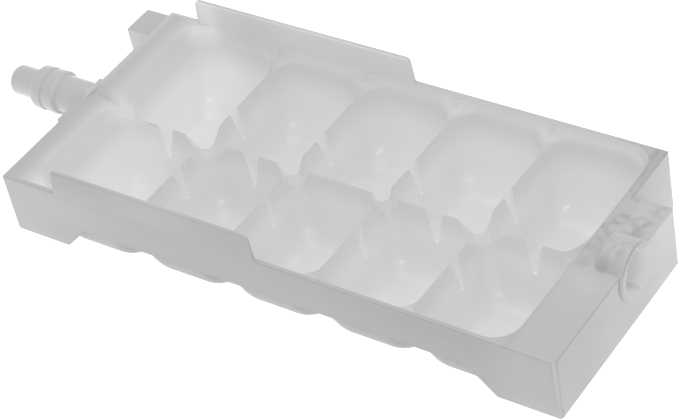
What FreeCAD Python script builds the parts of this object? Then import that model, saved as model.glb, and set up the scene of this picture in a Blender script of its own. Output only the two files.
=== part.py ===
import FreeCAD, Part
import math
import os

# Twist-release ice tray of an automatic ice maker: one polypropylene moulding with two rows of
# five cells, a journal at the idle end and a keyed socket in a closed box at the drive end.
# Each named region of the moulding is a solid of its own, and the solids meet face to face.
# Frame: X runs along the tray from the idle end to the drive end, Y across it, Z up.
# Origin: centre of the overall length and width, at the level of the cell bottoms.

V = FreeCAD.Vector

# ---- driving dimensions, mm ----
COLUMNS = 5                 # cells along the tray, in two rows
PITCH = 37.7                # cell to cell along the tray
WIDTH = 100.4               # over the two side walls
BODY_LENGTH = 220.8         # idle end face to drive end face
TROUGH_LENGTH = 206.6       # idle end face to the outside of the trough's drive end wall
SPINDLE_LENGTH = 35.8       # idle end face to the tip of the journal
RIM = 33.5                  # rim above the cell bottoms
AXIS_DROP = 5.0             # pivot axis below the rim
WALL = 1.4                  # cell wall
SIDE_WALL = 1.8             # trough side and end walls
FIRST_CELL = 12.9           # idle end face to the edge of the first cell's tile

# ---- levels below the rim ----
SKIRT_DEPTH = 14.6          # lower edge of the side walls between the legs
LEG_DEPTH = 24.5            # lower edge of the legs and end walls
LEDGE_DROP = 3.4            # ledge where the cell walls meet the side walls
CREST_DROP = 7.0            # tops of the partitions and of the centre ridge
SADDLE_DROP = 12.0          # low point where four cells meet
WEB_DROP = 13.6             # underside of the partitions, where the cups part
NOTCH_DROP = 19.0           # bottom of the V notches

# ---- cup sections: half length, ridge side, wall side, corner radius ----
OUTER_TOP = (18.65, 0.2, 47.8, 9.4)
OUTER_FLOOR = (15.8, 3.0, 39.8, 9.2)
OUTER_ROUND = 7.8
INNER_TOP = (18.2, 0.75, 46.9, 8.6)
INNER_WEB = (17.25, 1.6, 46.4, 8.0)
INNER_FLOOR = (14.4, 4.4, 38.4, 7.8)
INNER_ROUND = 6.6

# ---- V notches that let water run from cell to cell ----
NOTCH_TOP = 5.6             # width at the crest
NOTCH_FOOT = 1.2            # width at the bottom
NOTCH_REACH = 7.0           # length cut to each side of a wall
PARTITION_NOTCH_Y = 17.3    # from the centre ridge to a partition's notch
RIDGE_NOTCH_COLUMNS = (0, 1, 3, 4)
RIDGE_NOTCH_SHIFT = 1.2     # from the cell's middle towards the drive end

# ---- end box and drive socket ----
BOX_WIDTH = 76.4            # from the near side wall's outer face
BOX_CORNER = 1.2
SOCKET_R = 10.3
SOCKET_BORE_R = 7.6
SOCKET_DEPTH = 9.0
SOCKET_LENGTH = 10.6        # from the lip to the closed back
SOCKET_PROUD = 0.8          # socket lip beyond the end face
KEY_WIDTH = 3.0
KEY_R = 9.0                 # key slots reach this radius
RIB = 1.6
RIB_REACH = 9.0             # side ribs reach this far beyond the socket
RIB_LAP = 0.9               # ribs start inside the socket, at this share of its radius

# ---- idle end journal, from the end wall outwards ----
PAD_THICKNESS = 1.3
PAD_NEAR_Y = -17.7
PAD_FAR_Y = 7.8
PAD_DEPTH = 17.0
NECK_R = 6.9
COLLAR_R = 8.1
JOURNAL_R = 5.65
COLLAR_WIDTH = 4.7
NECK_LENGTH = 12.6
GROOVE_WIDTH = 1.6
COLLAR_ROUND = 1.2
TIP_ROUND = 2.4

# ---- twist stop lug at the far idle corner ----
LUG_LENGTH = 11.4
LUG_WIDTH = 13.2
LUG_HEIGHT = 12.0
LUG_DROP = 1.2              # lug top below the rim
LUG_SET_IN = 0.8            # lug side behind the far side wall's face

# ---- splash walls on the rim ----
SPLASH_HEIGHT = 9.9
SPLASH_WALL = 1.5
SPLASH_LEAN = 0.7           # slant of the ends
SPLASH_CORNER = 2.0
NEAR_SPLASH = (23.4, 108.2)
FAR_SPLASH = (13.3, 108.3)

# ---- legs and shelves ----
IDLE_LEG = 23.0
DRIVE_LEG_START = 197.4
IDLE_LAND = 6.9             # flat rim at the idle end
IDLE_CUSP = 6.5             # length of the slope that reaches into the first cells
DRIVE_LAND = 203.5          # idle end face to the opening's drive end edge
DRIVE_CUSP = 6.0
SHELF = 1.6                 # thickness of the end lands
FAR_CORNER = 1.7            # rounding of the far side wall's idle end
OPENING_CORNER = 9.0        # plan radius of the opening's corners
TOUCH = 0.01                # tolerance when an edge is picked by its place

# ---- derived ----
LENGTH = SPINDLE_LENGTH + BODY_LENGTH + SOCKET_PROUD
IDLE_X = SPINDLE_LENGTH - LENGTH / 2
BOX_X = IDLE_X + TROUGH_LENGTH
DRIVE_X = IDLE_X + BODY_LENGTH
HALF = WIDTH / 2
INSIDE_Y = HALF - SIDE_WALL
BOX_FAR_Y = BOX_WIDTH - HALF
AXIS_Z = RIM - AXIS_DROP
CELLS_START = IDLE_X + FIRST_CELL
CELLS_END = CELLS_START + COLUMNS * PITCH
CREST = RIM - CREST_DROP
WEB = RIM - WEB_DROP


def prism(points, direction):
    """Solid from a flat outline pushed along a direction."""
    wire = Part.makePolygon([V(*p) for p in points] + [V(*points[0])])
    return Part.Face(wire).extrude(V(*direction))


def box(x0, x1, y0, y1, z0, z1):
    """Box from its two corners."""
    return Part.makeBox(x1 - x0, y1 - y0, z1 - z0, V(x0, y0, z0))


def round_edges(solid, radius, wanted):
    """Round the edges that the test picks."""
    edges = [edge for edge in solid.Edges if wanted(edge)]
    return solid.makeFillet(radius, edges)


def upright(edge):
    """True for a straight vertical edge."""
    low, high = edge.BoundBox.ZMin, edge.BoundBox.ZMax
    return high - low > edge.Length - TOUCH


def section(centre, shape, z):
    """Rounded rectangle of one cup level; the far row's cell is the pattern."""
    half, y0, y1, radius = shape
    bulge = radius * (1 - math.sqrt(0.5))
    corners = [(centre + half, y1, -1, -1), (centre - half, y1, 1, -1),
               (centre - half, y0, 1, 1), (centre + half, y0, -1, 1)]
    edges = []
    for number, (x, y, in_x, in_y) in enumerate(corners):
        along_x = V(x + in_x * radius, y, z)
        along_y = V(x, y + in_y * radius, z)
        middle = V(x + in_x * bulge, y + in_y * bulge, z)
        start, end = (along_y, along_x) if number % 2 == 0 else (along_x, along_y)
        if edges:
            edges.append(Part.LineSegment(last, start).toShape())
        else:
            first = start
        edges.append(Part.Arc(start, middle, end).toShape())
        last = end
    edges.append(Part.LineSegment(last, first).toShape())
    return Part.Wire(edges)


def tub(centre, levels, floor_round):
    """Tapered tub through the given levels, with a rounded floor edge."""
    wires = [section(centre, shape, z) for shape, z in levels]
    solid = Part.makeLoft(wires, True, True)
    floor = min(z for _, z in levels)
    return round_edges(solid, floor_round, lambda edge: edge.BoundBox.ZMax < floor + TOUCH)


def wedge_outline(extra):
    """Half widths and levels of a V notch, grown by extra all round."""
    top = RIM - CREST_DROP + 3 * WALL
    slope = (NOTCH_TOP - NOTCH_FOOT) / 2 / (NOTCH_DROP - CREST_DROP)
    foot = RIM - NOTCH_DROP - extra
    high = NOTCH_TOP / 2 + extra + slope * 3 * WALL
    low = NOTCH_FOOT / 2 + extra * math.sqrt(0.5)
    return top, foot, high, low


def ridge_wedge(centre, extra, reach):
    """V prism across the centre ridge, on the far row's side of it."""
    top, foot, high, low = wedge_outline(extra)
    points = [(centre - high, 0, top), (centre + high, 0, top),
              (centre + low, 0, foot), (centre - low, 0, foot)]
    return prism(points, (0, reach, 0))


def partition_wedge(x, extra, reach):
    """V prism across a partition, from its middle plane into one cell."""
    top, foot, high, low = wedge_outline(extra)
    y = PARTITION_NOTCH_Y
    points = [(x, y - high, top), (x, y + high, top), (x, y + low, foot), (x, y - low, foot)]
    return prism(points, (reach, 0, 0))


def opening_corner(edge, way, x0, x1):
    """Fill outside a round corner of the trough's far side, cut to x0..x1."""
    radius = OPENING_CORNER
    square = box(min(edge, edge + way * radius), max(edge, edge + way * radius),
                 INSIDE_Y - radius, INSIDE_Y, WEB, RIM)
    centre = V(edge + way * radius, INSIDE_Y - radius, WEB)
    fill = square.cut(Part.makeCylinder(radius, RIM - WEB, centre))
    return fill.common(box(x0, x1, 0, INSIDE_Y, WEB, RIM))


def tile_head(column, x0, x1):
    """Upper block of one cell's tile: crest, ledge at the side wall and slopes at the ends."""
    ledge = RIM - LEDGE_DROP
    points = [(x0, 0, WEB), (x0, INSIDE_Y, WEB), (x0, INSIDE_Y, ledge),
              (x0, INNER_TOP[2], ledge), (x0, INNER_TOP[2] - INNER_TOP[3], CREST), (x0, 0, CREST)]
    head = prism(points, (x1 - x0, 0, 0))
    rise = RIM - LEDGE_DROP - CREST
    if column == 0:
        slope = [(x0, 0, WEB), (x0, 0, CREST + rise), (x0 + IDLE_CUSP, 0, CREST),
                 (x0 + IDLE_CUSP, 0, WEB)]
        head = head.fuse(prism(slope, (0, INSIDE_Y, 0)))
        head = head.fuse(opening_corner(IDLE_X + IDLE_LAND, 1, x0, x1))
    if column == COLUMNS - 1:
        slope = [(x1, 0, WEB), (x1, 0, CREST + rise), (x1 - DRIVE_CUSP, 0, CREST),
                 (x1 - DRIVE_CUSP, 0, WEB)]
        head = head.fuse(prism(slope, (0, INSIDE_Y, 0)))
        head = head.fuse(opening_corner(IDLE_X + DRIVE_LAND, -1, x0, x1))
    return head


def far_cup(column):
    """One ice cell of the far row: tapered cup, half of each wall that it shares, its notches."""
    x0 = CELLS_START + column * PITCH
    x1 = x0 + PITCH
    centre = (x0 + x1) / 2
    first, last = column == 0, column == COLUMNS - 1
    solid = tile_head(column, x0, x1)
    solid = solid.fuse(tub(centre, [(OUTER_TOP, WEB), (OUTER_FLOOR, 0)], OUTER_ROUND))
    wedges = []
    if column in RIDGE_NOTCH_COLUMNS:
        wedges.append((ridge_wedge, centre + RIDGE_NOTCH_SHIFT, 1))
    if not first:
        wedges.append((partition_wedge, x0, 1))
    if not last:
        wedges.append((partition_wedge, x1, -1))
    for wedge, place, way in wedges:
        lining = wedge(place, WALL, way * NOTCH_REACH / 2)
        trim = box(x0, x1, 0, INSIDE_Y, 0, CREST - WALL)
        solid = solid.fuse(lining.common(trim))
    levels = [(INNER_TOP, RIM), (INNER_WEB, WEB), (INNER_FLOOR, WALL)]
    pocket = tub(centre, levels, INNER_ROUND)
    solid = solid.cut(pocket)
    for wedge, place, way in wedges:
        solid = solid.cut(wedge(place, 0, way * NOTCH_REACH))
    dip = SADDLE_DROP - CREST_DROP
    span = INNER_TOP[3]
    radius = (span * span + dip * dip) / (2 * dip)
    for x, outer_end in ((x0, first), (x1, last)):
        if not outer_end:
            ball = Part.makeSphere(radius, V(x, 0, RIM - SADDLE_DROP + radius))
            solid = solid.cut(ball)
    return solid.removeSplitter()


def near_cup(column):
    """One ice cell of the near row, the far row's cell mirrored in the centre ridge."""
    return far_cup(column).mirror(V(0, 0, 0), V(0, 1, 0))


def side_outline(y, length, drive_leg):
    """Outline of a side wall: deep legs at both ends, a shallow skirt between them."""
    climb = LEG_DEPTH - SKIRT_DEPTH
    skirt, leg = RIM - SKIRT_DEPTH, RIM - LEG_DEPTH
    x = IDLE_X
    return [(x, y, RIM), (x + length, y, RIM), (x + length, y, leg), (x + drive_leg, y, leg),
            (x + drive_leg - climb, y, skirt), (x + IDLE_LEG + climb, y, skirt),
            (x + IDLE_LEG, y, leg), (x, y, leg)]


def near_side_wall():
    """Near side wall, which runs on past the trough as the end box's side."""
    return prism(side_outline(-HALF, BODY_LENGTH, DRIVE_LEG_START), (0, SIDE_WALL, 0))


def far_side_wall():
    """Far side wall, as long as the trough."""
    drive_leg = TROUGH_LENGTH - IDLE_LEG
    wall = prism(side_outline(INSIDE_Y, TROUGH_LENGTH, drive_leg), (0, SIDE_WALL, 0))

    def idle_corner(edge):
        middle = edge.CenterOfMass
        return upright(edge) and middle.x < IDLE_X + TOUCH and middle.y > HALF - TOUCH

    return round_edges(wall, FAR_CORNER, idle_corner)


def with_corners(wall, corner):
    """End wall with the fill of the opening's two corners, down to the wall's underside."""
    top = box(wall.BoundBox.XMin, wall.BoundBox.XMax, 0, HALF, RIM - LEDGE_DROP - SHELF, RIM)
    corner = corner.common(top)
    return wall.fuse(corner).fuse(corner.mirror(V(0, 0, 0), V(0, 1, 0))).removeSplitter()


def idle_end_wall():
    """End wall that carries the journal, with the flat land of the rim."""
    leg = RIM - LEG_DEPTH
    x = IDLE_X
    foot = RIM - LEDGE_DROP
    points = [(x, -INSIDE_Y, RIM), (x + IDLE_LAND, -INSIDE_Y, RIM),
              (CELLS_START, -INSIDE_Y, foot), (CELLS_START, -INSIDE_Y, foot - SHELF),
              (x + IDLE_LAND, -INSIDE_Y, RIM - SHELF), (x + SIDE_WALL, -INSIDE_Y, RIM - SHELF),
              (x + SIDE_WALL, -INSIDE_Y, leg), (x, -INSIDE_Y, leg)]
    wall = prism(points, (0, 2 * INSIDE_Y, 0))
    return with_corners(wall, opening_corner(x + IDLE_LAND, 1, x + IDLE_LAND, CELLS_START))


def drive_end_wall():
    """End wall of the trough between the last cells and the end box."""
    leg = RIM - LEG_DEPTH
    foot = RIM - LEDGE_DROP
    land = IDLE_X + DRIVE_LAND
    points = [(land, -INSIDE_Y, RIM), (BOX_X, -INSIDE_Y, RIM), (BOX_X, -INSIDE_Y, leg),
              (BOX_X - SIDE_WALL, -INSIDE_Y, leg), (BOX_X - SIDE_WALL, -INSIDE_Y, foot - 2 * SHELF),
              (CELLS_END, -INSIDE_Y, foot - SHELF), (CELLS_END, -INSIDE_Y, foot)]
    wall = prism(points, (0, 2 * INSIDE_Y, 0))
    return with_corners(wall, opening_corner(land, -1, CELLS_END, land))


def splash_wall(span, y):
    """Upright splash wall on the rim, with slanted ends and round top corners."""
    x0, x1 = IDLE_X + span[0], IDLE_X + span[1]
    top = RIM + SPLASH_HEIGHT
    points = [(x0, y, RIM), (x1, y, RIM), (x1 - SPLASH_LEAN, y, top), (x0 + SPLASH_LEAN, y, top)]
    wall = prism(points, (0, SPLASH_WALL, 0))

    def top_corner(edge):
        return edge.BoundBox.ZMin > top - TOUCH and edge.BoundBox.YLength > SPLASH_WALL / 2

    return round_edges(wall, SPLASH_CORNER, top_corner)


def near_splash_wall():
    """Splash wall of the near side, over the first columns."""
    return splash_wall(NEAR_SPLASH, -HALF)


def far_splash_wall():
    """Splash wall of the far side."""
    return splash_wall(FAR_SPLASH, HALF - SPLASH_WALL)


def end_box():
    """Box at the drive end, closed on top and open below, with the hole for the socket."""
    leg = RIM - LEG_DEPTH
    outside = box(BOX_X, DRIVE_X, -INSIDE_Y, BOX_FAR_Y, leg, RIM)

    def far_corner(edge):
        middle = edge.CenterOfMass
        return upright(edge) and middle.x > DRIVE_X - TOUCH and middle.y > 0

    outside = round_edges(outside, BOX_CORNER, far_corner)
    inside = box(BOX_X, DRIVE_X - SIDE_WALL, -INSIDE_Y, BOX_FAR_Y - SIDE_WALL, leg, RIM - SIDE_WALL)
    return outside.cut(inside).cut(socket_hub())


def socket_hub():
    """Outer cylinder of the socket, from its closed back to its lip."""
    back = DRIVE_X + SOCKET_PROUD - SOCKET_LENGTH
    return Part.makeCylinder(SOCKET_R, SOCKET_LENGTH, V(back, 0, AXIS_Z), V(1, 0, 0))


def drive_socket():
    """Socket for the motor's keyed shaft, open at the drive end."""
    mouth = DRIVE_X + SOCKET_PROUD
    start = mouth - SOCKET_DEPTH
    bore = Part.makeCylinder(SOCKET_BORE_R, SOCKET_DEPTH, V(start, 0, AXIS_Z), V(1, 0, 0))
    keys = box(start, mouth, -KEY_WIDTH / 2, KEY_WIDTH / 2, AXIS_Z - KEY_R, AXIS_Z + KEY_R)
    return socket_hub().cut(bore).cut(keys)


def socket_rib(way):
    """Web that ties the socket to the deck and the end wall, on one side of the axis."""
    near = SOCKET_R * RIB_LAP
    far = SOCKET_R + RIB_REACH
    end = DRIVE_X - SIDE_WALL
    web = box(BOX_X, end, near, far, AXIS_Z - RIB / 2, AXIS_Z + RIB / 2)
    stem = box(BOX_X, end, far - RIB, far, AXIS_Z - RIB / 2, RIM - SIDE_WALL)
    rib = web.fuse(stem).cut(socket_hub()).removeSplitter()
    return rib if way > 0 else rib.mirror(V(0, 0, 0), V(0, 1, 0))


def socket_foot_rib():
    """Web below the socket, down to the lower edge of the end box."""
    leg = RIM - LEG_DEPTH
    top = AXIS_Z - SOCKET_R * RIB_LAP
    web = box(BOX_X, DRIVE_X - SIDE_WALL, -RIB / 2, RIB / 2, leg + RIB, top)
    return web.cut(socket_hub())


def journal_pad():
    """Thickened patch of the idle end wall behind the journal."""
    return box(IDLE_X - PAD_THICKNESS, IDLE_X, PAD_NEAR_Y, PAD_FAR_Y, RIM - PAD_DEPTH, RIM)


def turned(x0, x1, radius, edge_round):
    """Round length of the journal with its edges rounded."""
    solid = Part.makeCylinder(radius, x1 - x0, V(x0, 0, AXIS_Z), V(1, 0, 0))
    if edge_round:
        solid = solid.makeFillet(edge_round, [e for e in solid.Edges if e.Closed])
    return solid


def idle_journal():
    """Journal that the idle bearing carries: neck, two collars and the bearing length."""
    root = IDLE_X - PAD_THICKNESS
    collar_a = IDLE_X - NECK_LENGTH
    collar_b = collar_a - COLLAR_WIDTH - GROOVE_WIDTH
    tip = IDLE_X - SPINDLE_LENGTH
    neck = turned(collar_b - COLLAR_WIDTH / 2, root, NECK_R, 0)
    shaft = Part.makeCylinder(JOURNAL_R, root - tip, V(tip, 0, AXIS_Z), V(1, 0, 0))
    shaft = round_edges(shaft, TIP_ROUND, lambda e: e.Closed and e.BoundBox.XMax < tip + TOUCH)
    solid = shaft.fuse(neck)
    for start in (collar_a, collar_b):
        solid = solid.fuse(turned(start - COLLAR_WIDTH, start, COLLAR_R, COLLAR_ROUND))
    return solid.removeSplitter()


def twist_stop_lug():
    """Lug that meets the stop in the ice maker's frame; hollow from below."""
    far = HALF - LUG_SET_IN
    top = RIM - LUG_DROP
    outside = box(IDLE_X - LUG_LENGTH, IDLE_X, far - LUG_WIDTH, far, top - LUG_HEIGHT, top)
    inside = box(IDLE_X - LUG_LENGTH + RIB, IDLE_X, far - LUG_WIDTH + RIB, far - RIB,
                 top - LUG_HEIGHT, top - RIB)
    return outside.cut(inside)


def save(shape, name):
    """Write one node."""
    shape.exportStep("parts/%s.step" % name)


def build():
    """Write every node of the tray."""
    os.makedirs("parts", exist_ok=True)
    for column in range(COLUMNS):
        save(near_cup(column), "cell_near_%d" % (column + 1))
        save(far_cup(column), "cell_far_%d" % (column + 1))
    save(near_side_wall(), "near_side_wall")
    save(far_side_wall(), "far_side_wall")
    save(idle_end_wall(), "idle_end_wall")
    save(drive_end_wall(), "drive_end_wall")
    save(near_splash_wall(), "near_splash_wall")
    save(far_splash_wall(), "far_splash_wall")
    save(end_box(), "end_box")
    save(drive_socket(), "drive_socket")
    save(socket_rib(-1), "socket_rib_near")
    save(socket_rib(1), "socket_rib_far")
    save(socket_foot_rib(), "socket_rib_low")
    save(journal_pad(), "journal_pad")
    save(idle_journal(), "idle_journal")
    save(twist_stop_lug(), "twist_stop_lug")


build()
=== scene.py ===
import bmesh
import bpy
import numpy as np
from mathutils import Matrix, Vector


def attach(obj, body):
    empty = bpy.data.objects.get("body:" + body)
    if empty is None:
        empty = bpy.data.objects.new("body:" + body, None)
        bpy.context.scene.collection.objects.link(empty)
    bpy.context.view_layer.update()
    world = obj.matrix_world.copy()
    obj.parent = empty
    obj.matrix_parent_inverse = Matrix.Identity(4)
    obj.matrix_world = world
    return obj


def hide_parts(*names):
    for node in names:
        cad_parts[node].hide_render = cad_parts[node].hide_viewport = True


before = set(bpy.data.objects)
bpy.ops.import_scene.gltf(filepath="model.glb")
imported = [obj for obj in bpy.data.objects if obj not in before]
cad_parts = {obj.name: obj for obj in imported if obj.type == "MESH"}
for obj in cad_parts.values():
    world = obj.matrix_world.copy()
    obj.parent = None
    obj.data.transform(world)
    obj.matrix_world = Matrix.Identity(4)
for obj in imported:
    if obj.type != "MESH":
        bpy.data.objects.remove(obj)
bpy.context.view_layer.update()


# ---------------------------------------------------------------------------------------------
# The studio: a pale table, a bright room, a large soft box overhead and two small ones in front.
# The tray stands on its cells with the drive end to the right, and the camera looks down on it
# from the near right.
# ---------------------------------------------------------------------------------------------
scene = bpy.context.scene
scene.view_settings.view_transform = "Standard"

camera_data = bpy.data.cameras.new("camera")
camera = bpy.data.objects.new("camera", camera_data)
scene.collection.objects.link(camera)
camera_data.sensor_width = 36.0
camera_data.lens = 124.5
camera_data.clip_start, camera_data.clip_end = 0.05, 20.0
camera_place = Vector((0.4195, -0.4558, 0.5343))
camera_target = Vector((0.0154, -0.0033, 0.0170))
camera_roll = -12.34
facing = (camera_target - camera_place).to_track_quat("-Z", "Y").to_matrix()
roll = Matrix.Rotation(np.radians(camera_roll), 3, "Z")
camera.matrix_world = Matrix.Translation(camera_place) @ (facing @ roll).to_4x4()
scene.camera = camera


def soft_box(name, place, target, width, height, watts):
    """Rectangular area light at a place, turned to a target."""
    data = bpy.data.lights.new(name, "AREA")
    data.shape = "RECTANGLE"
    data.size, data.size_y = width, height
    data.energy = watts
    light = bpy.data.objects.new(name, data)
    scene.collection.objects.link(light)
    turn = (Vector(target) - Vector(place)).to_track_quat("-Z", "Y").to_matrix().to_4x4()
    light.matrix_world = Matrix.Translation(Vector(place)) @ turn


TRAY_MIDDLE = (0.0, 0.0, 0.02)
soft_box("overhead_box", (-0.05, 0.15, 0.90), TRAY_MIDDLE, 0.9, 0.7, 1.5)
for side in (-0.07, 0.07):
    soft_box("front_box", (0.38 + side, -0.42 + side, 0.62), TRAY_MIDDLE, 0.03, 0.08, 0.25)

WHITE = (1.0, 1.0, 1.0, 1.0)
world = bpy.data.worlds.new("room")
world.use_nodes = True
room_light = world.node_tree.nodes["Background"]
room_light.inputs["Color"].default_value = WHITE
room_light.inputs["Strength"].default_value = 0.95
scene.world = world

table_material = bpy.data.materials.new("pale_table")
table_material.use_nodes = True
table_shader = table_material.node_tree.nodes["Principled BSDF"]
table_shader.inputs["Base Color"].default_value = (0.60, 0.60, 0.60, 1.0)
table_shader.inputs["Roughness"].default_value = 0.9
table_shader.inputs["Emission Color"].default_value = WHITE
table_shader.inputs["Emission Strength"].default_value = 0.85
TABLE_REACH = 6.0
corners = np.array([(-1, -1, 0), (1, -1, 0), (1, 1, 0), (-1, 1, 0)]) * TABLE_REACH
table_mesh = bpy.data.meshes.new("table")
table_mesh.from_pydata(corners.tolist(), [], [(0, 1, 2, 3)])
table_mesh.materials.append(table_material)
table = bpy.data.objects.new("table", table_mesh)
scene.collection.objects.link(table)


# ---------------------------------------------------------------------------------------------
# The ten cells: one thin bed of tapered cups in two rows, moulded with shared walls. Partitions
# and centre ridge dip where four cells meet, and V notches let water run from cell to cell.
# ---------------------------------------------------------------------------------------------
MM = 0.001                      # sizes are in millimetres, meshes in metres
RIM = 33.5                      # rim above the cell bottoms
COLUMNS, PITCH, CELLS_START = 5, 37.7, -80.0
BED_START, BED_END, BED_SIDE = -92.0, 111.6, 49.3
CREST, WEB = RIM - 7.0, RIM - 13.6      # top and underside of the shared walls
# ledge along the side wall: its height, where it starts to rise and where it is reached
LEDGE, LEDGE_START, LEDGE_EDGE = RIM - 3.4, 38.3, 46.9
FILLET_WIDTH, FILLET_RISE = 2.6, 2.9    # turn of the ledge into the side wall
WALL = 1.4
# the opening in the rim: where it starts and ends, its inner faces and its idle plan corners
OPENING_START, OPENING_END, OPENING_SIDE, OPENING_CORNER = -85.5, 110.6, 48.4, 12.0
# the idle land: length and power of its fall to the crest, and how far it stays under the rim
LAND_FALL, LAND_POWER, LAND_GAP = 12.0, 1.6, 0.02
# heights along the tray: top at the drive end, undersides at the idle end and at the drive end
DRIVE_RISE = (102.5, 108.5, OPENING_END, BED_END), (CREST, LEDGE, RIM - 0.4, RIM - 0.6)
IDLE_SHELF = (BED_START, -82.0, -80.3, -79.0), (RIM - 2.0, 29.2, 28.0, WEB)
DRIVE_SHELF = (107.7, 108.7, OPENING_END, BED_END), (WEB, LEDGE - 1.6, RIM - 3.0, RIM - 3.0)
# saddles where four cells meet: low point, reach of its flat part, reach of its flanks
SADDLES = {1: (20.6, 3.0, 11.0), 2: (21.0, 3.2, 7.0), 3: (22.5, 3.0, 5.8), 4: (21.2, 3.0, 10.2)}
# V notches: middle and half width at the crest, then for all of them the height of the foot, its
# half width and how far from the middle the nodes stay dense
PARTITION_NOTCH, RIDGE_NOTCH = (17.3, 2.3), (1.2, 3.1)
NOTCH_FOOT, NOTCH_HALF_FOOT, NOTCH_SPAN = RIM - 19.0, 0.6, 3.4
# columns whose ridge is notched, and how far across the tray that notch can reach
RIDGE_NOTCH_COLUMNS, RIDGE_NOTCH_REACH = (0, 1, 3, 4), 12.0
# rounding of the lips on the shared walls, and what it gains to the wall, idle and drive sides
LIP, LIP_WALL, LIP_IDLE, LIP_DRIVE, UNDER_LIP = 0.5, 1.5, 4.0, 0.8, 0.15


def bowl(floor, top, rim, *sizes):
    """Cup sections from floor to rim. Each size is its floor value, its rim value and a power:
    it grows along a power curve up to the top height and stays the same from there."""
    height = np.append(np.linspace(floor, top, 15), rim)
    share = np.clip((top - height) / (top - floor), 0, 1)
    return np.stack([height] + [end + (start - end) * share ** power
                                for start, end, power in sizes], 1)


# sizes of a cup: half length to a shared wall and to an end wall, ridge side, wall side, corner
# radius where cells meet and elsewhere
INNER = bowl(1.4, 27.5, RIM, (14.4, 18.3, 1.47), (14.4, 18.2, 1.25), (4.4, 0.55, 1.58),
             (38.4, 46.9, 2.0), (7.8, 3.0, 1.45), (7.8, 8.6, 1.0))
OUTER = bowl(0.0, 19.9, RIM, (15.8, 18.65, 1.2), (15.8, 18.65, 1.2), (3.0, 0.2, 1.2),
             (39.8, 47.8, 1.35), (8.8, 4.8, 1.0), (8.8, 8.8, 1.0))
INNER_ROUND, OUTER_ROUND = 6.6, 8.2
# corner centres of a cup at the height of the crests: where cells meet, at an end, at a side wall
MEETING, END, SIDE = (15.25, 3.6), (9.4, 9.3), (9.4, 38.3)
# where nodes grow denser: on a partition beside its saddle, on the ridge beside its saddles
SADDLE_REACH, RIDGE_BEND = 11.0, 7.8
# rows of a cup's upper and lower face: on the cap, the lip, the wall, the floor rounding, the floor
TOP_ROWS, UNDER_ROWS = (7, 3, 10, 8, 3), (6, 1, 5, 7, 2)


def ends(x, column):
    """True where x, from the middle of a column, lies in a half next to an end of the tray."""
    return (column == 0) & (x < 0) | (column == COLUMNS - 1) & (x > 0)


def cup_nodes(column):
    """Nodes round one cup as x, y and angle: for each side, in turn drive, wall, idle and ridge,
    from the middle of one corner arc over the straight part to the middle of the next."""
    idle = END if column == 0 else MEETING
    drive = END if column == COLUMNS - 1 else MEETING
    arc = np.linspace(-45.0, 0.0, 6)[:-1]

    def spaced(*stops):
        """Places in rising order over the stretches, each given by its two ends and a count."""
        return np.unique(np.concatenate([np.linspace(a, b, n) for a, b, n in stops]))

    def side(first, x, y, last, facing):
        """One side: half an arc about the first corner centre, then the straight part, where
        the angle is the side's own direction, then half an arc about the last centre."""
        x = np.concatenate([0 * arc + first[0], x, 0 * arc + last[0]])
        y = np.concatenate([0 * arc + first[1], y, 0 * arc + last[1]])
        turn = np.concatenate([arc, np.zeros(len(x) - 2 * len(arc)), -arc[::-1]])
        return np.array([x, y, turn + facing])

    def partition(corner):
        """Places across the tray from a partition's corner centre to the one at the wall."""
        notch = PARTITION_NOTCH[0]
        return spaced((corner[1], SADDLE_REACH, 10), (SADDLE_REACH, notch - NOTCH_SPAN, 4),
                      (notch - NOTCH_SPAN, notch + NOTCH_SPAN, 15),
                      (notch + NOTCH_SPAN, SIDE[1], 8))

    def straight(corner, y):
        """How far out the corner centre nearest to y lies along the tray."""
        return np.where(y > PARTITION_NOTCH[0], SIDE[0], corner[0])

    up, down = partition(drive), partition(idle)[::-1]
    notch = RIDGE_NOTCH[0]
    ridge = spaced((-idle[0], -RIDGE_BEND, 10), (-RIDGE_BEND, notch - NOTCH_SPAN, 5),
                   (notch - NOTCH_SPAN, notch + NOTCH_SPAN, 15),
                   (notch + NOTCH_SPAN, RIDGE_BEND, 4), (RIDGE_BEND, drive[0], 10))
    wall = np.linspace(SIDE[0], -SIDE[0], 11)
    low = np.where(ridge < 0, idle[1], drive[1])
    return (side(drive, straight(drive, up), up, SIDE, 0),
            side(SIDE, wall, 0 * wall + SIDE[1], (-SIDE[0], SIDE[1]), 90),
            side((-SIDE[0], SIDE[1]), -straight(idle, down), down, (-idle[0], idle[1]), 180),
            side((-idle[0], idle[1]), ridge, low, drive, 270))


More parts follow.
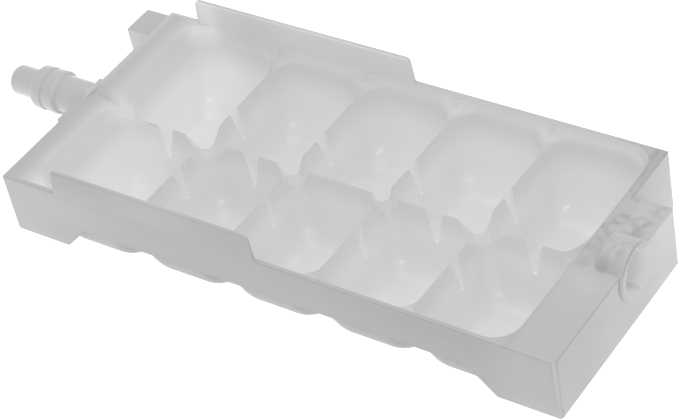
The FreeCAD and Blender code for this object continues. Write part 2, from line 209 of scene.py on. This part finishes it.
def cup_plan(z, sections, inset, nodes, column):
    """Plan of a cup at height z: a rounded rectangle drawn in by inset. A node is its corner
    centre plus the corner radius in its direction. Straight parts grow and shrink with height:
    nodes in a notch stay, and those beside it share out the way to the corner centre."""
    shared, end, near, far, tight, wide = (np.interp(z, sections[:, 0], c)
                                           for c in sections.T[1:])
    x, y, angle = nodes
    at_end, beside_wall = ends(x, column), y > PARTITION_NOTCH[0]
    half = np.where(at_end, end, shared) - inset
    radius = np.where(at_end | beside_wall, wide, tight) - inset

    def shared_out(node, edge, corner, actual):
        """Distance from the notch's edge, stretched so that the corner centre reaches its
        actual place at this height."""
        return edge + (node - edge) * (actual - edge) / (corner - edge)

    corner_x = np.where(beside_wall, SIDE[0], np.where(at_end, END[0], MEETING[0]))
    corner_y = np.where(at_end, END[1], MEETING[1])
    first, last = RIDGE_NOTCH[0] - NOTCH_SPAN, RIDGE_NOTCH[0] + NOTCH_SPAN
    across = np.where(x < first, shared_out(x, first, -corner_x, radius - half),
                      np.where(x > last, shared_out(x, last, corner_x, half - radius), x))
    first, last = PARTITION_NOTCH[0] - NOTCH_SPAN, PARTITION_NOTCH[0] + NOTCH_SPAN
    up = np.where(y < first, shared_out(y, first, corner_y, near + inset + radius),
                  np.where(y > last, shared_out(y, last, SIDE[1], far - inset - radius), y))
    turn = np.radians(angle)
    return across + radius * np.cos(turn), up + radius * np.sin(turn)


def tile_edge(nodes, reach_idle, reach_drive):
    """Edge of a cup's tile: from the corner centre in the node's direction, scaled so that the
    larger part of the direction just reaches the tile's straight side."""
    x, y, angle = nodes
    across, up = np.cos(np.radians(angle)), np.sin(np.radians(angle))
    longest = np.maximum(np.abs(across), np.abs(up))
    room_x = np.where(across < 0, reach_idle, reach_drive) - np.abs(x)
    room_y = np.where(up < 0, y, BED_SIDE - y)
    return x + room_x * across / longest, y + room_y * up / longest


def softer(a, b, blend):
    """Smaller of two heights with a rounded change-over as wide as blend."""
    mix = np.clip(0.5 + 0.5 * (b - a) / blend, 0, 1)
    return b + (a - b) * mix - blend * mix * (1 - mix)


def notches(z, x, y, column, extra):
    """Cut the partition notches and the ridge notch of one column into height z. A notch has a
    flat foot and straight flanks, and extra is the thickness of its lining below."""
    def notch(offset, half):
        """Height of the foot, plus the slope times how far the offset is beyond the foot."""
        slope = (CREST - NOTCH_FOOT) / (half - NOTCH_HALF_FOOT)
        flank = np.abs(offset) - NOTCH_HALF_FOOT - extra * np.sqrt(0.5)
        return NOTCH_FOOT - extra + slope * np.maximum(flank, 0)

    partition = notch(y - PARTITION_NOTCH[0], PARTITION_NOTCH[1])
    z = np.where(ends(x, column), z, softer(z, partition, 1.6))
    if column in RIDGE_NOTCH_COLUMNS:
        ridge = notch(x - RIDGE_NOTCH[0], RIDGE_NOTCH[1])
        z = np.where(y > RIDGE_NOTCH_REACH, z, softer(z, ridge, 1.2))
    return z


def crest_height(x, y, column):
    """Top of the shared walls: the crest, the rise to the ledge and to the end lands, less the
    saddle where four cells meet and the V notches. The idle land falls as a power curve from the
    opening's edge, which is drawn towards the drive end in its corners. The ledge turns up into
    the side wall in a quarter of an ellipse."""
    along = CELLS_START + (column + 0.5) * PITCH + x
    fillet = np.clip((y - OPENING_SIDE) / FILLET_WIDTH + 1, 0, 1)
    z = np.interp(y, (LEDGE_START, LEDGE_EDGE), (CREST, LEDGE))
    z = z + FILLET_RISE * (1 - np.sqrt(1 - fillet ** 2))
    if column == 0:
        into_corner = np.clip(y - OPENING_SIDE + OPENING_CORNER, 0, OPENING_CORNER)
        edge = OPENING_START + OPENING_CORNER - np.sqrt(OPENING_CORNER ** 2 - into_corner ** 2)
        fall = np.clip((along - edge) / LAND_FALL, 0, 1.3) ** LAND_POWER
        z = -softer(-z, -(RIM - LAND_GAP - (RIM - CREST) * fall), 0.8)
    if column == COLUMNS - 1:
        z = np.maximum(z, np.interp(along, *DRIVE_RISE))
    away = np.hypot(PITCH / 2 - np.abs(x), y)
    for side, junction in ((x < 0, column), (x > 0, column + 1)):
        if junction in SADDLES:
            low, flat, reach = SADDLES[junction]
            share = np.clip((away - flat) / (reach - flat), 0, 1)
            saddle = low + (CREST - low) * share ** 2 * (3 - 2 * share)
            z = np.where(side & (away < reach), np.minimum(z, saddle), z)
    return notches(z, x, y, column, 0.0)


def web_height(x, y, column):
    """Underside of the shared walls between the cups, with the linings of the V notches, and
    the shelves at both ends of the bed."""
    along = CELLS_START + (column + 0.5) * PITCH + x
    z = np.full(np.shape(x), WEB)
    if column == 0:
        z = np.interp(along, *IDLE_SHELF)
    if column == COLUMNS - 1:
        z = np.interp(along, *DRIVE_SHELF)
    return notches(z, x, y, column, WALL)


def lip_rounds(nodes, column):
    """Rounding of the lip: tight on the shared walls, wider towards the side wall, and a broad
    sweep at the idle end, each growing with the square of the direction's part that way."""
    across, up = np.cos(np.radians(nodes[2])), np.sin(np.radians(nodes[2]))
    rounds = LIP + LIP_WALL * np.maximum(up, 0) ** 2
    if column == 0:
        rounds = rounds + LIP_IDLE * np.maximum(-across, 0) ** 2
    if column == COLUMNS - 1:
        rounds = rounds + LIP_DRIVE * np.maximum(across, 0) ** 2
    return rounds


def cup_sheet(column, nodes, sections, height, floor_round, lip_round, counts):
    """One face of a cup's tile as rows from the tile's edge to the middle of the floor: the cap
    out to the edge, a rounded lip, the tapered wall, the floor rounding and the flat floor."""
    caps, lips, walls, turns, floors = counts
    reach_idle = CELLS_START + PITCH / 2 - BED_START if column == 0 else PITCH / 2
    last_centre = CELLS_START + (COLUMNS - 0.5) * PITCH
    reach_drive = BED_END - last_centre if column == COLUMNS - 1 else PITCH / 2
    edge_x, edge_y = tile_edge(nodes, reach_idle, reach_drive)
    # the lip is as high as the cap where the wall meets it, and a few rounds settle the two
    lip = np.full(edge_x.shape, CREST)
    for _ in range(8):
        lip_x, lip_y = cup_plan(lip - lip_round, sections, 0, nodes, column)
        lip = height(lip_x, lip_y, column)
    lip_x, lip_y = cup_plan(lip - lip_round, sections, 0, nodes, column)
    room = np.hypot(edge_x - lip_x, edge_y - lip_y)
    around = (1 - np.cos(np.radians(np.linspace(90, 0, lips + 2)[1:-1])))[:, None]
    out = np.concatenate([np.linspace(1, 0, caps)[:, None] * (room - lip_round) + lip_round,
                          lip_round * around])
    cap_x = lip_x + (edge_x - lip_x) * out / room
    cap_y = lip_y + (edge_y - lip_y) * out / room
    short = np.maximum(lip_round - out, 0)
    drop = lip_round - np.sqrt(np.maximum(lip_round ** 2 - short ** 2, 0))
    cap_z = height(cap_x, cap_y, column) - drop
    floor = sections[0, 0]
    share = np.linspace(0, 1, walls)[:, None]
    wall_z = (lip - lip_round) * (1 - share) + (floor + floor_round) * share
    turn = np.radians(np.linspace(0, 90, turns))[1:, None] + 0 * lip
    wall_z = np.concatenate([wall_z, floor + floor_round * (1 - np.sin(turn))])
    inset = np.concatenate([0 * share + 0 * lip, floor_round * (1 - np.cos(turn))])
    wall_x, wall_y = cup_plan(wall_z, sections, inset, nodes, column)
    middle_y = (sections[0, 3] + sections[0, 4]) / 2
    shrink = np.linspace(1, 0, floors)[1:, None]
    rows_x = np.concatenate([cap_x, wall_x, wall_x[-1] * shrink])
    rows_y = np.concatenate([cap_y, wall_y, middle_y + (wall_y[-1] - middle_y) * shrink])
    rows_z = np.concatenate([cap_z, wall_z, floor + 0 * shrink + 0 * lip])
    sheet = np.stack([rows_x + CELLS_START + (column + 0.5) * PITCH, rows_y, rows_z], -1)
    return np.concatenate([sheet, sheet[:, :1]], 1)


MERGE = 0.002                   # points nearer than this are one


def solid(name, grids, caps=()):
    """Closed body from point grids in millimetres. Neighbours in a grid are joined by quads and
    caps are filled outlines; points that coincide are merged and faces turned outwards."""
    points = [grid.reshape(-1, 3) for grid in grids] + [np.asarray(cap) for cap in caps]
    starts = np.cumsum([0] + [len(p) for p in points])
    faces = []
    for grid, start in zip(grids, starts):
        index = start + np.arange(grid.shape[0] * grid.shape[1]).reshape(grid.shape[:2])
        quads = np.stack([index[:-1, :-1], index[1:, :-1], index[1:, 1:], index[:-1, 1:]], -1)
        faces += quads.reshape(-1, 4).tolist()
    for cap, start in zip(caps, starts[len(grids):]):
        faces.append(list(range(start, start + len(cap))))
    mesh = bpy.data.meshes.new(name)
    mesh.from_pydata((np.concatenate(points) * MM).tolist(), [], faces)
    work = bmesh.new()
    work.from_mesh(mesh)
    bmesh.ops.remove_doubles(work, verts=work.verts, dist=MERGE * MM)
    bmesh.ops.dissolve_degenerate(work, edges=work.edges, dist=MERGE * MM)
    bmesh.ops.recalc_face_normals(work, faces=work.faces)
    work.to_mesh(mesh)
    work.free()
    body = bpy.data.objects.new(name, mesh)
    scene.collection.objects.link(body)
    return body


grids = []
for column in range(COLUMNS):
    sides = cup_nodes(column)
    starts = np.cumsum([0] + [side.shape[1] for side in sides])
    nodes = np.concatenate(sides, 1)
    top = cup_sheet(column, nodes, INNER, crest_height, INNER_ROUND, lip_rounds(nodes, column),
                    TOP_ROWS)
    under = cup_sheet(column, nodes, OUTER, web_height, OUTER_ROUND, 0 * nodes[0] + UNDER_LIP,
                      UNDER_ROWS)
    strips = [1] + [2] * (column == 0) + [0] * (column == COLUMNS - 1)
    borders = [np.stack([top[0], under[0]])[:, starts[k]:starts[k + 1] + 1] for k in strips]
    for grid in (top, under, *borders):
        grids += [grid, grid * (1, -1, 1)]      # the near row mirrors the far row
bed = solid("cell_bed", grids)


# ---------------------------------------------------------------------------------------------
# The trough round the cells: side walls with deep legs at both ends and upright splash walls on
# top, two end walls, and the band of the rim round the opening. All are part of the moulding.
# ---------------------------------------------------------------------------------------------
HALF, SIDE_WALL = 50.2, 1.8     # half width of the tray, thickness of its walls
# outer faces of the idle end wall, the drive wall and the end box
IDLE_X, BOX_X, DRIVE_X = -92.9, 113.7, 127.9
LEG, SKIRT = RIM - 24.5, RIM - 14.6     # lower edges of the legs and of the skirt between them
SPLASH_TOP, SPLASH_LEAN = RIM + 9.9, 0.7
NEAR_SPLASH, FAR_SPLASH = (-69.5, 15.3), (-79.6, 15.4)
IDLE_LEG, NEAR_LEG, FAR_LEG = IDLE_X + 23.0, IDLE_X + 197.4, IDLE_X + 183.6
EDGE = 0.5                      # rounding of the outer edges


def rounded(points, radii):
    """Outline whose corners are replaced by arcs: each arc touches both sides at the radius
    times the tangent of half the turn away from the corner."""
    points = np.asarray(points, float)
    out = []
    for k, (corner, radius) in enumerate(zip(points, np.broadcast_to(radii, len(points)))):
        a, b = points[k - 1] - corner, points[(k + 1) % len(points)] - corner
        a, b = a / np.linalg.norm(a), b / np.linalg.norm(b)
        if radius <= 0:
            out.append(corner[None])
            continue
        half = np.arccos(np.clip(a @ b, -1, 1)) / 2
        middle = corner + (a + b) / np.linalg.norm(a + b) * radius / np.sin(half)
        start, end = corner + a * radius / np.tan(half), corner + b * radius / np.tan(half)
        share = np.linspace(0, 1, 7)[:, None]
        ray = (start - middle) * (1 - share) + (end - middle) * share
        out.append(middle + ray / np.linalg.norm(ray, axis=1)[:, None] * radius)
    return np.concatenate(out)


def drawn_in(outline, inset):
    """Outline moved inwards by inset along the mitre of its two sides at each point."""
    ahead = np.roll(outline, -1, 0) - outline
    ahead /= np.linalg.norm(ahead, axis=1)[:, None]
    behind = np.roll(ahead, 1, 0)
    inward = np.stack([-ahead[:, 1], ahead[:, 0]], -1)
    inward_behind = np.stack([-behind[:, 1], behind[:, 0]], -1)
    mitre = (inward + inward_behind) / (1 + np.sum(inward * inward_behind, 1))[:, None]
    return outline + mitre * inset


def plate(name, outline, axis, low, high, edge=EDGE):
    """Flat plate with rounded edges: its outline, counter-clockwise in the two other axes, is
    carried from low to high, and drawn in along a quarter circle at both ends."""
    turn = np.radians(np.linspace(0, 90, 5))
    inset = np.concatenate([edge * (1 - np.sin(turn)), edge * (1 - np.sin(turn[::-1]))])
    rise = edge * (1 - np.cos(turn))
    along = np.concatenate([low + rise, high - rise[::-1]])
    rows = []
    for shift, place in zip(inset, along):
        flat = drawn_in(outline, shift)
        rows.append(np.insert(flat, axis, place, axis=1))
    rows = np.array(rows)
    closed = np.concatenate([rows, rows[:, :1]], 1)
    return solid(name, [closed], [rows[0], rows[-1]])


def wall_outline(end, drive_leg, splash, idle_corner):
    """Outline of a side wall with its legs and its splash wall, counter-clockwise in x and z."""
    climb = SKIRT - LEG
    points = [(IDLE_X, LEG), (IDLE_LEG, LEG), (IDLE_LEG + climb, SKIRT),
              (drive_leg - climb, SKIRT), (drive_leg, LEG), (end, LEG), (end, RIM),
              (splash[1], RIM), (splash[1] - SPLASH_LEAN, SPLASH_TOP),
              (splash[0] + SPLASH_LEAN, SPLASH_TOP), (splash[0], RIM), (IDLE_X, RIM)]
    radii = [EDGE, 1.0, 2.0, 2.0, 1.0, EDGE, EDGE, 0.6, 2.0, 2.0, 0.6, idle_corner]
    return rounded(points, radii)


near_wall = plate("near_wall", wall_outline(DRIVE_X, NEAR_LEG, NEAR_SPLASH, EDGE), 1,
                  -HALF, -HALF + SIDE_WALL)
far_wall = plate("far_wall", wall_outline(BOX_X, FAR_LEG, FAR_SPLASH, 1.0), 1,
                 HALF - SIDE_WALL, HALF)


def rectangle(a0, a1, b0, b1, radius=EDGE):
    """Rectangle outline with round corners."""
    return rounded([(a0, b0), (a1, b0), (a1, b1), (a0, b1)], radius)


idle_wall = plate("idle_wall", rectangle(-HALF, HALF, LEG, RIM), 0, IDLE_X, IDLE_X + SIDE_WALL)
drive_wall = plate("drive_wall", rectangle(-HALF + EDGE, HALF, LEG, RIM), 0,
                   BOX_X - SIDE_WALL, BOX_X)


def rim_band():
    """Band of the rim: a closed loop of section rows round the opening. The outer loop lies in
    the walls, and the opening's edge is rounded. At the idle end it lies inside the end wall."""
    side, into_wall, foot, edge = OPENING_SIDE, SIDE_WALL / 2, LEDGE - 1.6, 0.4
    inner = rectangle(IDLE_X + 1.4, OPENING_END, -side, side, [0.3, 9.0, 9.0, 0.3])
    outer = rectangle(IDLE_X + into_wall, BOX_X - into_wall, -side - into_wall, side + into_wall,
                      [0.1, 1.5, 1.5, 0.1])
    loops = [(outer, foot), (outer, RIM)]
    for angle in np.radians(np.linspace(90, 0, 5)):
        rounding = drawn_in(inner, edge * (np.cos(angle) - 1))
        loops.append((rounding, RIM + edge * (np.sin(angle) - 1)))
    loops += [(inner, foot), loops[0]]
    rows = np.array([np.insert(loop, 2, z, axis=1) for loop, z in loops])
    return solid("rim_band", [np.concatenate([rows, rows[:, :1]], 1)])


band = rim_band()


# ---------------------------------------------------------------------------------------------
# The end box at the drive end: a deck, an end face and a far side, open below, moulded round the
# hub of the drive socket. Webs under the deck tie the hub to the walls.
# ---------------------------------------------------------------------------------------------
BOX_FAR, OVERLAP = 26.2, 1.2    # far face of the box, and how far joined pieces overlap
AXIS_Z, HUB_R, BORE_R, BORE_DEPTH = RIM - 5.0, 10.3, 7.6, 9.0
HUB_LIP, HUB_BACK = DRIVE_X + 0.8, DRIVE_X - 9.8
BOX_START, WEBS_END = BOX_X - OVERLAP, DRIVE_X - OVERLAP
deck = plate("deck", rectangle(BOX_START, DRIVE_X, -HALF, BOX_FAR), 2, RIM - SIDE_WALL, RIM)
end_face = plate("end_face", rectangle(-HALF, BOX_FAR, LEG, RIM), 0, DRIVE_X - SIDE_WALL, DRIVE_X)
box_side = plate("box_side", rectangle(BOX_START, DRIVE_X, LEG, RIM), 1,
                 BOX_FAR - SIDE_WALL, BOX_FAR)


def turned(name, profile, count=72):
    """Body of revolution about the pivot axis: each profile point, a distance along x and a
    radius, goes round a full circle."""
    turn = np.linspace(0, 2 * np.pi, count + 1)
    along, radius = profile[:, :1], profile[:, 1:]
    grid = np.stack([along + 0 * turn, radius * np.cos(turn), AXIS_Z + radius * np.sin(turn)], -1)
    return solid(name, [grid])


hub = turned("hub", rounded([(HUB_BACK, 0), (HUB_BACK, HUB_R), (HUB_LIP, HUB_R), (HUB_LIP, 0)],
                            [0, 1.6, 0.7, 0]))


def web(name, a0, a1, b0, b1):
    """Web under the deck, square to the pivot axis, from the drive wall to the end face."""
    return plate(name, rectangle(a0, a1, b0, b1, 0.3), 0, BOX_START, WEBS_END, 0.2)


HALF_WEB, WEB_IN_HUB, STEM, WEB_REACH = 0.8, 9.0, 17.7, 19.3
webs = [web("side_web", *sorted((way * WEB_IN_HUB, way * WEB_REACH)), AXIS_Z - HALF_WEB,
            AXIS_Z + HALF_WEB) for way in (-1, 1)]
webs += [web("stem", *sorted((way * STEM, way * WEB_REACH)), AXIS_Z - HALF_WEB, RIM - 0.9)
         for way in (-1, 1)]
webs += [web("foot_web", -HALF_WEB, HALF_WEB, LEG + 1.6, AXIS_Z - WEB_IN_HUB)]


def keyed_circle(radius, reach, width):
    """Circle with a square key slot at the top and at the bottom."""
    turn = np.arcsin(width / 2 / radius)
    arc = np.linspace(turn - np.pi / 2, np.pi / 2 - turn, 33)
    right = np.stack([radius * np.cos(arc), radius * np.sin(arc)], -1)
    slot = np.array([(width / 2, reach), (-width / 2, reach)])
    outline = np.concatenate([right, slot, -right, -slot])
    return outline + (0, AXIS_Z)


def outside_of_corner(x, y, radius):
    """What an outer corner at x and y loses when it is rounded: a quarter arc about the point one
    radius in from both faces, closed by a square that stands one radius out from them."""
    turn = np.radians(np.linspace(0, -90, 9))
    arc = np.stack([np.cos(turn), np.sin(turn)], -1)
    around = np.array([(-1, -1), (1, -1), (1, 1)])
    return np.concatenate([(x - radius, y + radius) + radius * arc, (x, y) + radius * around])


CLEAR = 6.0                     # how far a cut reaches past the plastic
bore = plate("bore", keyed_circle(BORE_R, 9.0, 3.0), 0, HUB_LIP - BORE_DEPTH, DRIVE_X + CLEAR, 0.2)
corner_cut = plate("corner_cut", outside_of_corner(DRIVE_X, -HALF, 2.0), 2, LEG - CLEAR,
                   RIM + CLEAR, 0.0)


# ---------------------------------------------------------------------------------------------
# The idle end: a thickened pad on the end wall carries the turned journal with its two collars,
# and the square stop lug stands beside it at the far corner, hollow from below.
# ---------------------------------------------------------------------------------------------
pad = plate("pad", rectangle(-17.7, 7.8, RIM - 17.0, RIM, 0.8), 0, IDLE_X - 1.3, IDLE_X + OVERLAP)


def journal_profile():
    """Half section of the journal from its tip to its end in the rim: distance along x and
    radius, with round edges at the tip, the two collars and the end."""
    tip, outer, inner, end = IDLE_X - 35.8, IDLE_X - 23.6, IDLE_X - 17.3, IDLE_X + 1.6
    outer_end, inner_end = outer + 4.7, inner + 4.7
    pin, collar, groove, neck = 5.65, 8.15, 7.55, 6.9
    points = [(tip, 0), (tip, pin), (outer, pin), (outer, collar), (outer_end, collar),
              (outer_end, groove), (inner, groove), (inner, collar), (inner_end, collar),
              (inner_end, neck), (end, neck), (end, 0)]
    return rounded(points, [0, 2.4, 0.6, 1.3, 0.4, 0.15, 0.15, 0.4, 0.8, 0.4, 1.8, 0])


journal = turned("journal", journal_profile())
LUG_X, LUG_FAR, LUG_TOP, LUG_WALL = IDLE_X - 11.4, HALF - 0.8, RIM - 1.2, 1.6
LUG_NEAR, LUG_FOOT = LUG_FAR - 13.2, LUG_TOP - 12.0
lug = plate("lug", rectangle(LUG_X, IDLE_X + OVERLAP, LUG_NEAR, LUG_FAR, 0.8), 2,
            LUG_FOOT, LUG_TOP, 0.7)
lug_hollow = plate("lug_hollow", rectangle(LUG_X + LUG_WALL, IDLE_X, LUG_NEAR + LUG_WALL,
                                           LUG_FAR - LUG_WALL, 0.6),
                   2, LUG_FOOT - CLEAR, LUG_TOP - LUG_WALL, 0.5)


# ---------------------------------------------------------------------------------------------
# One moulding: the walls, the bed, the box, the journal and the lug are one shot of milky
# polypropylene, so they are joined into one closed skin. The socket's bore, the lug's hollow and
# the outside of one corner are cut away.
# ---------------------------------------------------------------------------------------------
def joined(name, base, added, cut):
    """Base body with the added bodies fused to it and the cut bodies taken away."""
    for operation, bodies in (("UNION", added), ("DIFFERENCE", cut)):
        for body in bodies:
            step = base.modifiers.new(body.name, "BOOLEAN")
            step.operation, step.solver, step.object = operation, "MANIFOLD", body
    shaped = base.evaluated_get(bpy.context.evaluated_depsgraph_get())
    mesh = bpy.data.meshes.new_from_object(shaped)
    mesh.name = name
    for body in (base, *added, *cut):
        bpy.data.meshes.remove(body.data)
    piece = bpy.data.objects.new(name, mesh)
    scene.collection.objects.link(piece)
    return piece


moulding = joined("tray_moulding", near_wall,
                  [far_wall, idle_wall, drive_wall, band, bed, deck, end_face, box_side, hub,
                   *webs, pad, journal, lug], [bore, lug_hollow, corner_cut])
moulding.data.shade_smooth()
moulding.data.set_sharp_from_angle(angle=np.radians(38))

plastic = bpy.data.materials.new("milky_polypropylene")
plastic.use_nodes = True
tree = plastic.node_tree
shader = tree.nodes["Principled BSDF"]


class Field:
    """A number that varies over the surface: a shader socket on which Python's arithmetic adds
    Math nodes."""

    def __init__(self, socket):
        self.socket = socket

    def maths(self, operation, *values):
        """One Math node on this number and the values."""
        return node("ShaderNodeMath", {"operation": operation}, self, *values)

    def __add__(self, other):
        return self.maths("ADD", other)

    def __sub__(self, other):
        return self.maths("SUBTRACT", other)

    def __mul__(self, other):
        return self.maths("MULTIPLY", other)

    def __truediv__(self, other):
        return self.maths("DIVIDE", other)

    def __pow__(self, other):
        return self.maths("POWER", other)

    def __rsub__(self, other):
        return node("ShaderNodeMath", {"operation": "SUBTRACT"}, other, self)

    __radd__, __rmul__ = __add__, __mul__

    def size(self):
        """The number without its sign."""
        return self.maths("ABSOLUTE")

    def ramp(self, low, high):
        """Smooth rise from 0 at low to 1 at high; falls where low is above high."""
        share = node("ShaderNodeMath", {"operation": "DIVIDE", "use_clamp": True},
                     self - low, high - low)
        return share * share * (3.0 - 2.0 * share)

    def toward(self, other, share):
        """This number where share is 0, the other where it is 1, and a mixture in between."""
        return self + (other - self) * share


def node(kind, settings, *values, output=0):
    """Node of a kind with its settings, then the values or links of its inputs, in order or by
    name; gives one output as a Field."""
    made = tree.nodes.new(kind)
    for name, value in settings.items():
        setattr(made, name, value)
    named = values[0].items() if values and isinstance(values[0], dict) else enumerate(values)
    for key, value in named:
        if isinstance(value, Field):
            tree.links.new(value.socket, made.inputs[key])
        else:
            made.inputs[key].default_value = value
    return Field(made.outputs[output])


def split(vector):
    """The three numbers of a vector."""
    return [node("ShaderNodeSeparateXYZ", {}, vector, output=k) for k in range(3)]


def cloud(scale, detail):
    """Noise between 0 and 1 with a given number of grains in a metre."""
    return node("ShaderNodeTexNoise", {}, {"Vector": place, "Scale": scale, "Detail": detail})


def mark(middle_x, middle_y, outer, inner):
    """Round spot on the deck: 0 from the outer distance of its middle, 1 within the inner one."""
    across, up = x - middle_x, y - middle_y
    away = (across * across + up * up) ** 0.5
    return away.ramp(outer, inner)


def tint(share):
    """Black to the slightly cool white of the plastic, by a share."""
    return node("ShaderNodeMix", {"data_type": "RGBA"},
                {0: share, 6: (0.0, 0.0, 0.0, 1.0), 7: (0.985, 0.985, 1.0, 1.0)}, output=2)


# where a point lies, in millimetres, and how its surface lies: leaning to the drive end, to the
# far side, and facing up
place = node("ShaderNodeTexCoord", {}, output="Object")
x, y, z = (length / MM for length in split(place))
lean_x, lean_y, level = split(node("ShaderNodeNewGeometry", {}, output="Normal"))
off_axis = y.size()
to_drive = lean_x.ramp(0.3, 0.9)
at_rim = z.ramp(RIM - 0.5, RIM - 0.2)
drive_rim = x.ramp(92.0, 98.0) * level.ramp(0.8, 0.95)

# the trough and its cells, apart from the flat rim at the drive end, and tops of shared walls
inside = off_axis.ramp(48.9, 48.5) * x.ramp(-93.0, -88.0) * x.ramp(111.4, 110.8)
inside = inside * level.ramp(-0.10, -0.03) * (1.0 - drive_rim * at_rim)
tops = level.ramp(0.1, 1.0) * z.ramp(14.0, 19.0) * z.ramp(36.0, 34.5)
tops = tops * (1.0 - 0.4 * off_axis.ramp(41.0, 46.0) * z.ramp(33.3, 33.0))

# painted light and shade: how much light comes back from the cells, lighter lower down, darker at
# the floor, on the tops of the shared walls and beside the side walls towards the idle end, and
# from the idle land that falls to them, darker towards the end wall
cells = 0.58 + 0.115 * z.ramp(27.5, 15.0) - 0.06 * z.ramp(8.0, 2.0) - 0.11 * tops
cells = cells - 0.06 * off_axis.ramp(46.0, 48.0) * x.ramp(-30.0, -60.0)
land = 0.395 + 0.22 * x.ramp(-91.0, -75.0)
cells = cells.toward(land, x.ramp(-66.0, -74.0) * z.ramp(24.0, 27.0))

# the side walls and the splash walls: painted shade, darker because less light comes through them,
# with painted light on their upward faces and towards their foot; they also vary along their length
edges = 0.09 * level.ramp(0.5, 1.0)
side_walls = 0.332 - 0.036 * x.ramp(-85.0, -30.0) - 0.025 * x.ramp(20.0, 90.0)
side_walls = side_walls + 0.045 * x.ramp(95.0, 118.0) + 0.02 * z.ramp(16.0, 9.0) + edges
splash_walls = 0.298 + 0.030 * x.ramp(-60.0, -30.0) * x.ramp(10.0, -25.0) + edges
outside = side_walls.toward(splash_walls, z.ramp(30.0, 37.0))
# painted light: lighter on the far half and on faces that look to the drive end, short of the end
# box
outside = outside + 0.07 * y.ramp(0.0, 10.0) + 0.10 * to_drive * x.ramp(100.0, 90.0)

# the end box: deck, end face, hub and the drive wall above the deck, with painted light and shade:
# lighter towards the middle, darker above the deck, in the far corner at the rim and on faces that
# look to the drive end, the end face lighter towards the far side
on_end_face = x.ramp(127.0, 127.8)
box = 0.42 + 0.035 * y.ramp(-38.0, -5.0) - 0.035 * z.ramp(33.6, 34.2)
box = box - 0.05 * y.ramp(27.0, 34.0) * at_rim - 0.01 * z.ramp(33.0, 33.4)
box = box - 0.10 * to_drive * x.ramp(117.0, 115.0)
box = box - 0.135 * on_end_face * to_drive + 0.045 * y.ramp(2.0, 18.0) * on_end_face
in_box = x.ramp(111.5, 113.0)
in_box = in_box + (1.0 - in_box) * drive_rim
outside = outside.toward(box, in_box * y.ramp(-50.1, -49.5))

# painted shade on faces that look down, then the journal and the lug beyond the idle end wall, with
# painted light on the lug's faces that look to the near side
underside = level.ramp(-0.03, -0.25) * x.ramp(-93.0, -90.0) * x.ramp(113.0, 111.0)
outside = outside - (0.045 + 0.03 * level.ramp(-0.3, -0.9)) * underside
root = x.ramp(-90.5, -91.0) * z.ramp(33.5, 33.7) * off_axis.ramp(9.0, 8.0)
outside = outside.toward(0.41, (x.ramp(-92.5, -93.5) + root).maths("MINIMUM", 1.0))
outside = outside + 0.12 * x.ramp(-93.5, -94.5) * lean_y.ramp(-0.4, -0.9) * y.ramp(30.0, 34.0)
tone = outside.toward(cells, inside) * (0.975 + 0.05 * cloud(55.0, 2.0))

# painted shade and light of what lies under the deck, seen through it: two dark rings, dark and
# pale spots, a darker cloudy middle part and a darker band at the deck's inner edge
rings = mark(115.3, 14.6, 3.8, 2.0) * (1.0 - mark(115.3, 14.6, 2.2, 0.6))
rings = rings + 1.2 * mark(121.8, 15.4, 4.2, 2.2) * (1.0 - mark(121.8, 16.0, 2.4, 0.6))
spots = mark(125.4, -3.8, 2.4, 0.3) + mark(121.4, -7.8, 3.2, 0.6) + mark(123.3, 10.8, 3.4, 0.8)
spots = spots + 0.8 * mark(114.0, -7.6, 3.6, 0.8)
pale = mark(118.0, -15.0, 4.5, 1.0) + mark(122.0, -17.0, 4.5, 1.0)
pale = mark(125.0, 0.6, 3.6, 1.4) + 0.6 * pale
cloudy_shade = y.ramp(-12.0, -2.0) * x.ramp(119.0, 114.0) + x.ramp(112.4, 110.8)
cloudy_shade = cloudy_shade + 1.6 * y.ramp(-14.0, -4.0) * cloud(260.0, 1.0).ramp(0.52, 0.66)
deck_top = x.ramp(108.0, 110.5) * z.ramp(32.9, 33.3) * x.ramp(127.9, 127.0)
tone = tone * (1.0 - (0.11 * rings + 0.15 * spots + 0.07 * cloudy_shade - 0.07 * pale) * deck_top)

# painted light in the socket's bore, as if light reached it from all sides
away = (y * y + (z - AXIS_Z) * (z - AXIS_Z)) ** 0.5
socket = away.ramp(9.6, 9.0) * x.ramp(118.0, 119.0) * lean_x.ramp(0.8, 0.4)
tone = tone.toward(0.58, socket)

# painted glow: emission standing in for light carried inside the plastic, in the cells, in the
# flanks of the V notches, in the bore, and in the journal, where it is strongest on faces that look
# to the drive end
flanks = off_axis.ramp(13.5, 14.5) * off_axis.ramp(21.0, 20.0) * lean_y.size().ramp(0.5, 0.8)
flanks = flanks + off_axis.ramp(3.0, 2.0) * lean_x.size().ramp(0.5, 0.8)
painted_glow = (0.085 + 0.07 * x.ramp(-50.0, -75.0)) * (1.0 - tops) * (1.0 - 0.9 * x.ramp(-76.0, -86.0))
painted_glow = inside * (painted_glow + 0.05 * flanks * z.ramp(27.0, 26.0)) + 0.14 * socket
journal_painted_glow = x.ramp(-90.5, -91.5) * z.ramp(33.5, 33.7)
journal_painted_glow = journal_painted_glow + x.ramp(-93.5, -94.0) * z.ramp(33.7, 33.5) * y.ramp(20.0, 10.0)
painted_glow = painted_glow + journal_painted_glow * (0.025 + 0.12 * lean_x.ramp(0.2, 0.9))

grain = cloud(2500.0, 2.0) + 6.0 * cloud(140.0, 1.0)
skin = node("ShaderNodeBump", {}, {"Strength": 0.25, "Distance": 0.00003, "Height": grain})
for name, field in (("Base Color", tint(tone)), ("Emission Color", tint(painted_glow)),
                    ("Roughness", 0.31 + 0.07 * cloud(90.0, 1.0)),
                    ("Coat Weight", 0.5 - 0.4 * underside), ("Normal", skin)):
    tree.links.new(field.socket, shader.inputs[name])
for name, value in (("Emission Strength", 1.0), ("IOR", 1.49), ("Coat Roughness", 0.12)):
    shader.inputs[name].default_value = value
moulding.data.materials.clear()
moulding.data.materials.append(plastic)
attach(moulding, "root")
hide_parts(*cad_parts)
